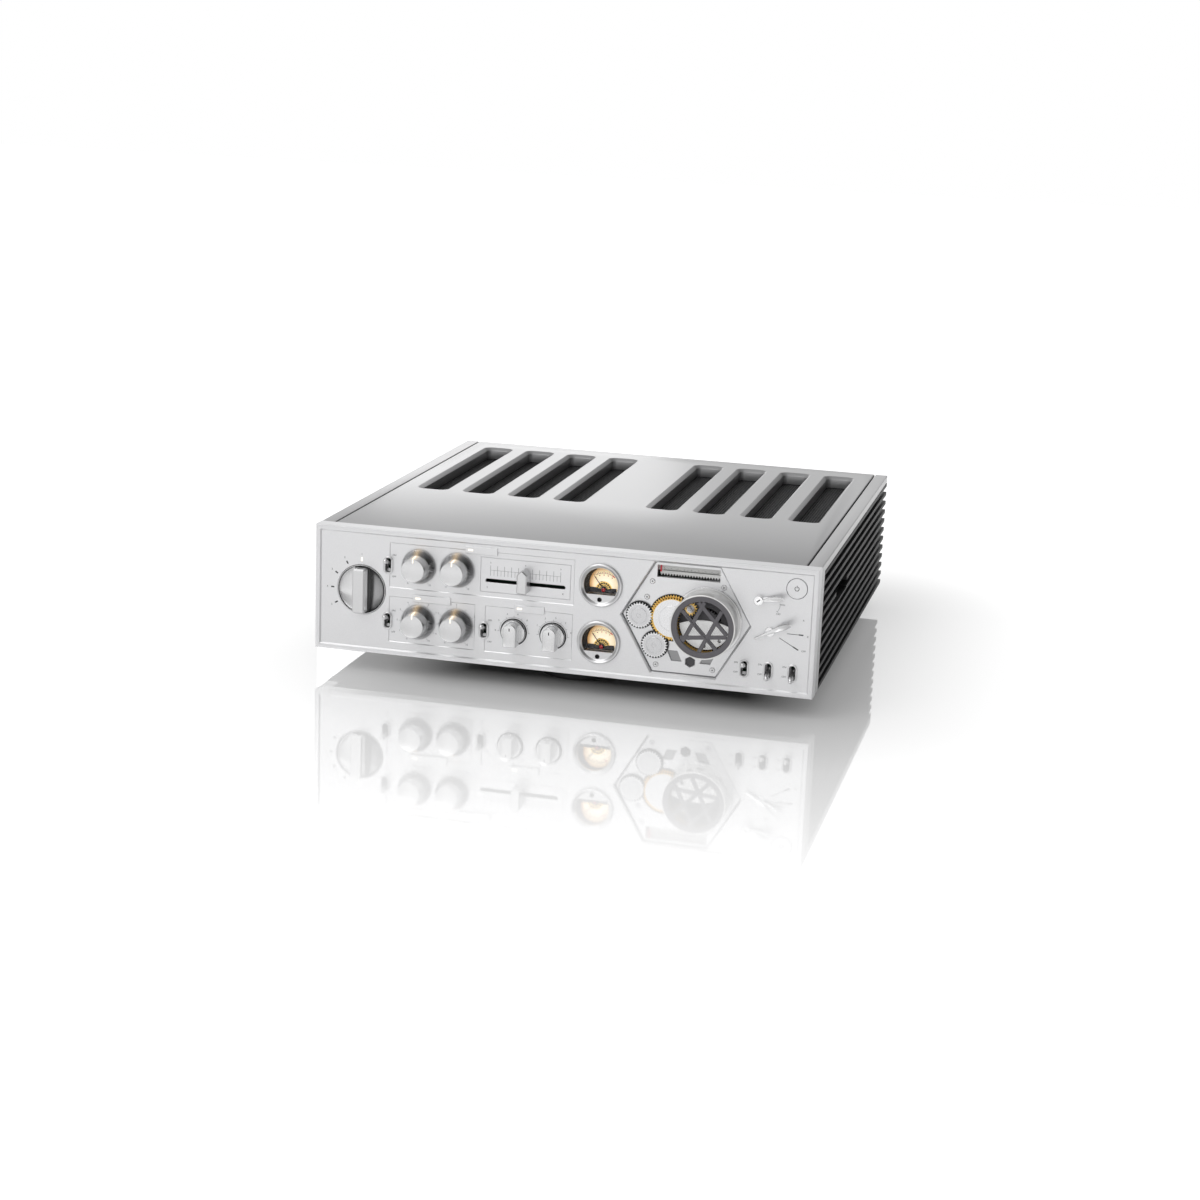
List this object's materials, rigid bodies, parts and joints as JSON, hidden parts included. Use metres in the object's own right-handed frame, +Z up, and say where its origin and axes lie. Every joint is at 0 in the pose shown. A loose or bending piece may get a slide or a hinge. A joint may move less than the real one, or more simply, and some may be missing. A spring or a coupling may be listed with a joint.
{
  "type": "integrated amplifier",
  "caption": "Low, wide stereo amplifier with a silver front panel, an open gear train round its volume wheel, round meters, knobs, levers and a vented top.",
  "frame": {"origin": "bottom centre of the whole part, in the plane that its feet stand on", "axes": "+X to the right as seen from the front, +Y to the rear, +Z up; the front panel faces -Y"},
  "size_m": [0.43, 0.468, 0.127],
  "materials": {
    "satin_silver": "fine satin, bead blasted and anodised silver",
    "cover_silver": "brushed and anodised silver",
    "bright_silver": "turned and polished edges",
    "brass": "polished brass",
    "grey_steel": "dark grey, satin",
    "black_anodised": "black anodised, satin",
    "black_plastic": "black, matt",
    "white_enamel": "white enamel with printed lines",
    "clear_glass": "clear, flat",
    "green_board": "circuit board with solder mask",
    "copper_coil": "lacquered copper winding",
    "zinc_steel": "zinc-plated sheet"
  },
  "bodies": {
    "chassis": {"amplifier_board": "green_board", "base_tray": "zinc_steel", "control_board": "green_board", "foot_front": "black_plastic", "foot_rear_left": "black_plastic", "foot_rear_right": "black_plastic", "front_panel": "satin_silver", "gear_plate": "satin_silver", "heat_sink_left": "black_anodised", "heat_sink_right": "black_anodised", "inner_bridge": "satin_silver", "input_block": "black_plastic", "left_meter_case": "bright_silver", "left_meter_glass": "clear_glass", "mains_inlet": "black_plastic", "mains_transformer": "copper_coil", "power_board": "green_board", "rear_bridge": "zinc_steel", "rear_panel": "black_anodised", "right_meter_case": "bright_silver", "right_meter_glass": "clear_glass", "scale_plate": "white_enamel", "side_frame_left": "satin_silver", "side_frame_right": "satin_silver", "speaker_terminals_left": "black_plastic", "speaker_terminals_right": "black_plastic", "top_cover": "cover_silver", "vent_mesh_left": "black_anodised", "vent_mesh_right": "black_anodised", "wheel_bearing": "grey_steel"},
    "selector_knob": {"selector_knob": "satin_silver"},
    "bass_knob": {"bass_knob": "bright_silver"},
    "treble_knob": {"treble_knob": "bright_silver"},
    "frequency_knob": {"frequency_knob": "bright_silver"},
    "gain_knob": {"gain_knob": "bright_silver"},
    "turnover_knob": {"turnover_knob": "bright_silver"},
    "rolloff_knob": {"rolloff_knob": "bright_silver"},
    "tone_toggle": {"tone_toggle": "bright_silver"},
    "filter_toggle": {"filter_toggle": "bright_silver"},
    "phono_toggle": {"phono_toggle": "bright_silver"},
    "dimmer_toggle": {"dimmer_toggle": "bright_silver"},
    "subsonic_toggle": {"subsonic_toggle": "bright_silver"},
    "attenuator_toggle": {"attenuator_toggle": "bright_silver"},
    "balance_slider": {"balance_slider": "bright_silver"},
    "power_button": {"power_button": "satin_silver"},
    "direct_lever": {"direct_lever": "bright_silver"},
    "speaker_lever": {"speaker_lever": "bright_silver"},
    "left_meter_needle": {"left_meter_needle": "black_plastic"},
    "right_meter_needle": {"right_meter_needle": "black_plastic"},
    "mains_rocker": {"mains_rocker": "black_plastic"},
    "volume_wheel": {"volume_wheel": "bright_silver", "wheel_grille": "grey_steel", "wheel_ring_gear": "brass"},
    "sun_shaft": {"sun_shaft": "grey_steel"},
    "inner_idler": {"inner_idler": "bright_silver"},
    "centre_gear": {"centre_gear": "bright_silver"},
    "upper_idler": {"upper_idler": "bright_silver"},
    "lower_idler": {"lower_idler": "bright_silver"},
    "rack_idler": {"rack_idler": "brass"},
    "scale_rack": {"scale_rack": "bright_silver"}
  },
  "joints": [
    {"name": "selector_knob_turn", "type": "hinge", "parent": "chassis", "child": "selector_knob", "pos_m": [-0.17399, -0.216, 0.0735], "axis": [0, 1, 0], "range_deg": [-120, 0]},
    {"name": "bass_knob_turn", "type": "hinge", "parent": "chassis", "child": "bass_knob", "pos_m": [-0.12349, -0.216, 0.0982], "axis": [0, 1, 0], "range_deg": [-150, 150]},
    {"name": "treble_knob_turn", "type": "hinge", "parent": "chassis", "child": "treble_knob", "pos_m": [-0.08969, -0.216, 0.0982], "axis": [0, 1, 0], "range_deg": [-150, 150]},
    {"name": "frequency_knob_turn", "type": "hinge", "parent": "chassis", "child": "frequency_knob", "pos_m": [-0.12349, -0.216, 0.04985], "axis": [0, 1, 0], "range_deg": [-150, 150]},
    {"name": "gain_knob_turn", "type": "hinge", "parent": "chassis", "child": "gain_knob", "pos_m": [-0.08969, -0.216, 0.04985], "axis": [0, 1, 0], "range_deg": [-150, 150]},
    {"name": "turnover_knob_turn", "type": "hinge", "parent": "chassis", "child": "turnover_knob", "pos_m": [-0.03929, -0.216, 0.04985], "axis": [0, 1, 0], "range_deg": [-100, 100]},
    {"name": "rolloff_knob_turn", "type": "hinge", "parent": "chassis", "child": "rolloff_knob", "pos_m": [-0.00529, -0.216, 0.04985], "axis": [0, 1, 0], "range_deg": [-100, 100]},
    {"name": "tone_toggle_turn", "type": "hinge", "parent": "chassis", "child": "tone_toggle", "pos_m": [-0.15049, -0.2072, 0.09691], "axis": [1, 0, 0], "range_deg": [0, 34]},
    {"name": "filter_toggle_turn", "type": "hinge", "parent": "chassis", "child": "filter_toggle", "pos_m": [-0.15049, -0.2072, 0.0487], "axis": [1, 0, 0], "range_deg": [0, 34]},
    {"name": "phono_toggle_turn", "type": "hinge", "parent": "chassis", "child": "phono_toggle", "pos_m": [-0.06529, -0.2072, 0.0487], "axis": [1, 0, 0], "range_deg": [0, 34]},
    {"name": "dimmer_toggle_turn", "type": "hinge", "parent": "chassis", "child": "dimmer_toggle", "pos_m": [0.15729, -0.2072, 0.0392], "axis": [1, 0, 0], "range_deg": [0, 34]},
    {"name": "subsonic_toggle_turn", "type": "hinge", "parent": "chassis", "child": "subsonic_toggle", "pos_m": [0.17729, -0.2072, 0.0392], "axis": [1, 0, 0], "range_deg": [-34, 0]},
    {"name": "attenuator_toggle_turn", "type": "hinge", "parent": "chassis", "child": "attenuator_toggle", "pos_m": [0.19729, -0.2072, 0.0392], "axis": [1, 0, 0], "range_deg": [-34, 0]},
    {"name": "balance_slider_slide", "type": "slide", "parent": "chassis", "child": "balance_slider", "axis": [1, 0, 0], "range_m": [-0.029, 0.029]},
    {"name": "power_button_slide", "type": "slide", "parent": "chassis", "child": "power_button", "axis": [0, 1, 0], "range_m": [0, 0.0015], "stiffness_N_per_m": 200},
    {"name": "direct_lever_turn", "type": "hinge", "parent": "chassis", "child": "direct_lever", "pos_m": [0.16709, -0.216, 0.09851], "axis": [0, 1, 0], "range_deg": [0, 50]},
    {"name": "speaker_lever_turn", "type": "hinge", "parent": "chassis", "child": "speaker_lever", "pos_m": [0.17699, -0.216, 0.07221], "axis": [0, 1, 0], "range_deg": [0, 56]},
    {"name": "left_meter_needle_turn", "type": "hinge", "parent": "chassis", "child": "left_meter_needle", "pos_m": [0.03571, -0.216, 0.09271], "axis": [0, 1, 0], "range_deg": [-8, 82], "stiffness_Nm_per_rad": 0.0001},
    {"name": "right_meter_needle_turn", "type": "hinge", "parent": "chassis", "child": "right_meter_needle", "pos_m": [0.03571, -0.216, 0.044], "axis": [0, 1, 0], "range_deg": [-8, 82], "stiffness_Nm_per_rad": 0.0001},
    {"name": "mains_rocker_turn", "type": "hinge", "parent": "chassis", "child": "mains_rocker", "pos_m": [-0.15499, 0.2097, 0.10474], "axis": [1, 0, 0], "range_deg": [-16, 0]},
    {"name": "volume_wheel_turn", "type": "hinge", "parent": "chassis", "child": "volume_wheel", "pos_m": [0.12469, -0.216, 0.07516], "axis": [0, 1, 0], "range_deg": [0, 260]},
    {"name": "sun_shaft_turn", "type": "hinge", "parent": "chassis", "child": "sun_shaft", "pos_m": [0.12469, -0.216, 0.07516], "axis": [0, 1, 0], "range_deg": [-489.5, 0]},
    {"name": "inner_idler_turn", "type": "hinge", "parent": "chassis", "child": "inner_idler", "pos_m": [0.11167, -0.216, 0.08647], "axis": [0, 1, 0], "range_deg": [0, 1116.29]},
    {"name": "centre_gear_turn", "type": "hinge", "parent": "chassis", "child": "centre_gear", "pos_m": [0.09544, -0.216, 0.07516], "axis": [0, 1, 0], "range_deg": [0, 341.13]},
    {"name": "upper_idler_turn", "type": "hinge", "parent": "chassis", "child": "upper_idler", "pos_m": [0.06769, -0.216, 0.07516], "axis": [0, 1, 0], "range_deg": [-559.14, 0]},
    {"name": "lower_idler_turn", "type": "hinge", "parent": "chassis", "child": "lower_idler", "pos_m": [0.08144, -0.216, 0.0512], "axis": [0, 1, 0], "range_deg": [-559.14, 0]},
    {"name": "rack_idler_turn", "type": "hinge", "parent": "chassis", "child": "rack_idler", "pos_m": [0.13078, -0.216, 0.09486], "axis": [0, 1, 0], "range_deg": [0, 184.81]},
    {"name": "scale_rack_slide", "type": "slide", "parent": "chassis", "child": "scale_rack", "axis": [1, 0, 0], "range_m": [0, 0.04816]}
  ],
  "couplings": [
    {"joint": "sun_shaft_turn", "follows": "volume_wheel_turn", "ratio": -1.875},
    {"joint": "inner_idler_turn", "follows": "volume_wheel_turn", "ratio": 4.2857},
    {"joint": "centre_gear_turn", "follows": "volume_wheel_turn", "ratio": 1.3043},
    {"joint": "upper_idler_turn", "follows": "volume_wheel_turn", "ratio": -2.1429},
    {"joint": "lower_idler_turn", "follows": "volume_wheel_turn", "ratio": -2.1429},
    {"joint": "rack_idler_turn", "follows": "volume_wheel_turn", "ratio": 0.70312},
    {"joint": "scale_rack_slide", "follows": "volume_wheel_turn", "m_per_rad": 0.010547}
  ]
}
